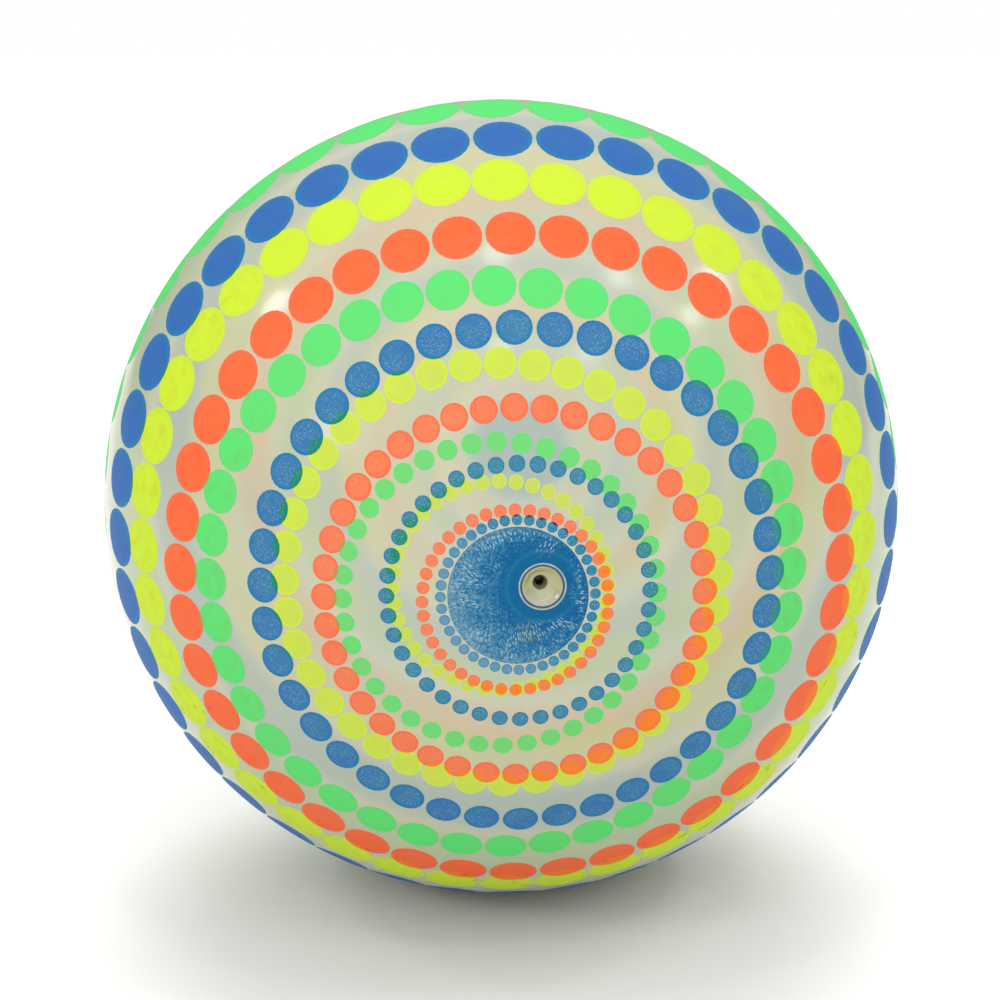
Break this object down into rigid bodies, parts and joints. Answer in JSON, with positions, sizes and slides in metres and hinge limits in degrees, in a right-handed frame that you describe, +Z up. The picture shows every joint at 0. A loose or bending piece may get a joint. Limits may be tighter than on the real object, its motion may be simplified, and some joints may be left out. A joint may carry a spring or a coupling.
{
  "type": "play ball",
  "caption": "Hollow inflatable play ball of soft milky vinyl with printed rings of bright dots, a moulded-in valve seat and a push-in valve plug that takes an inflating needle.",
  "frame": {"origin": "centre of the ball", "axes": "+Z up as the ball lies in the picture; the valve is on the Y axis and its mouth faces -Y"},
  "size_m": [0.225, 0.225, 0.225],
  "materials": {
    "milky_vinyl": "satin",
    "seat_vinyl": "satin",
    "plug_vinyl": "gloss",
    "ink_blue": "satin",
    "ink_orange": "satin",
    "ink_yellow": "satin",
    "ink_green": "satin"
  },
  "bodies": {
    "ball": {"ball_skin": "milky_vinyl", "valve_seat": "seat_vinyl"},
    "plug": {"valve_plug": "plug_vinyl"}
  },
  "joints": [
    {"name": "plug_pull", "type": "slide", "parent": "ball", "child": "plug", "axis": [0, -1, 0], "range_m": [0, 0.022]}
  ]
}
